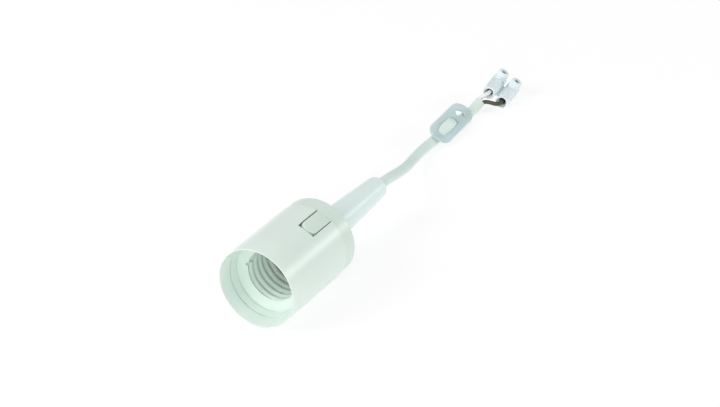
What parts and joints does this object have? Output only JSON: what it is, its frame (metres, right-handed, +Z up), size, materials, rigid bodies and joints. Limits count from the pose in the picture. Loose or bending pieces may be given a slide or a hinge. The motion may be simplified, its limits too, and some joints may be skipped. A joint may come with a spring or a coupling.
{
  "type": "pendant lampholder",
  "caption": "Pendant lampholder for a screw lamp, with a latched sleeve, long tapered neck, short flat cord, hanging plate and two-pole terminal block.",
  "frame": {"origin": "on the lamp axis, at the front edge of the first thread crest", "axes": "+Y along the lamp axis from the mouth to the neck, so a lamp leaves along -Y; +Z up from the table that the object lies on; +X to the right when seen from the mouth's side looking along +Y"},
  "size_m": [0.038, 0.2468, 0.038],
  "materials": {
    "shell_plastic": "moulded white thermoplastic, soft sheen",
    "cap_plastic": "moulded white thermoplastic, soft sheen",
    "neck_plastic": "soft moulded plastic",
    "carrier_plastic": "heat-resistant moulding",
    "cord_plastic": "PVC",
    "live_plastic": "brown PVC",
    "neutral_plastic": "pale PVC",
    "plate_plastic": "translucent moulding",
    "block_plastic": "translucent moulding",
    "contact_brass": "stamped strip",
    "clamp_brass": "turned",
    "screw_steel": "zinc plated",
    "wire_copper": "bare stranded copper"
  },
  "bodies": {
    "lampholder": {"cap": "cap_plastic", "contact_carrier": "carrier_plastic", "carrier_screws": "screw_steel", "centre_contact_foot": "contact_brass", "side_contact_foot": "contact_brass", "contact_rivets": "contact_brass", "live_lamp_crimp": "clamp_brass", "neutral_lamp_crimp": "clamp_brass", "live_lamp_core": "live_plastic", "neutral_lamp_core": "neutral_plastic", "cord_grip_bar": "carrier_plastic", "cord_grip_screws": "screw_steel", "neck": "neck_plastic", "cord_jacket": "cord_plastic", "live_tail_core": "live_plastic", "neutral_tail_core": "neutral_plastic", "live_wire_end": "wire_copper", "neutral_wire_end": "wire_copper", "hanging_plate": "plate_plastic", "block_housing": "block_plastic", "live_clamp_body": "clamp_brass", "neutral_clamp_body": "clamp_brass"},
    "sleeve": {"sleeve": "shell_plastic"},
    "latch": {"latch_tongue": "cap_plastic"},
    "centre_contact": {"centre_contact": "contact_brass"},
    "side_contact": {"side_contact": "contact_brass"},
    "live_disc": {"live_pressure_disc": "screw_steel"},
    "live_screw": {"live_clamp_screw": "screw_steel"},
    "neutral_disc": {"neutral_pressure_disc": "screw_steel"},
    "neutral_screw": {"neutral_clamp_screw": "screw_steel"}
  },
  "joints": [
    {"name": "sleeve_pull_off", "type": "slide", "parent": "lampholder", "child": "sleeve", "axis": [0, -1, 0], "range_m": [0, 0.024]},
    {"name": "latch_press", "type": "hinge", "parent": "lampholder", "child": "latch", "pos_m": [0.00724, 0.0316, 0.01713], "axis": [0.9212, 0, -0.3891], "range_deg": [0, 6.5], "stiffness_Nm_per_rad": 0.3},
    {"name": "centre_contact_flex", "type": "hinge", "parent": "lampholder", "child": "centre_contact", "pos_m": [-0.0064, 0.0216, 0], "axis": [0, 0, 1], "range_deg": [0, 10], "stiffness_Nm_per_rad": 0.2},
    {"name": "side_contact_flex", "type": "hinge", "parent": "lampholder", "child": "side_contact", "pos_m": [0.0132, 0.0245, -0.00233], "axis": [0.1736, 0, 0.9848], "range_deg": [0, 6], "stiffness_Nm_per_rad": 0.2},
    {"name": "live_disc_press", "type": "slide", "parent": "lampholder", "child": "live_disc", "axis": [-0.4388, -0.1321, -0.8888], "range_m": [0, 0.0016]},
    {"name": "live_screw_turn", "type": "hinge", "parent": "live_disc", "child": "live_screw", "pos_m": [-0.00381, 0.23043, -0.01361], "axis": [-0.4388, -0.1321, -0.8888], "range_deg": [0, 1280]},
    {"name": "neutral_disc_press", "type": "slide", "parent": "lampholder", "child": "neutral_disc", "axis": [-0.4388, -0.1321, -0.8888], "range_m": [0, 0.0016]},
    {"name": "neutral_screw_turn", "type": "hinge", "parent": "neutral_disc", "child": "neutral_screw", "pos_m": [-0.01078, 0.22945, -0.01002], "axis": [-0.4388, -0.1321, -0.8888], "range_deg": [0, 1280]}
  ],
  "couplings": [
    {"joint": "live_screw_turn", "follows": "live_disc_press", "rad_per_m": 13962},
    {"joint": "neutral_screw_turn", "follows": "neutral_disc_press", "rad_per_m": 13962}
  ]
}
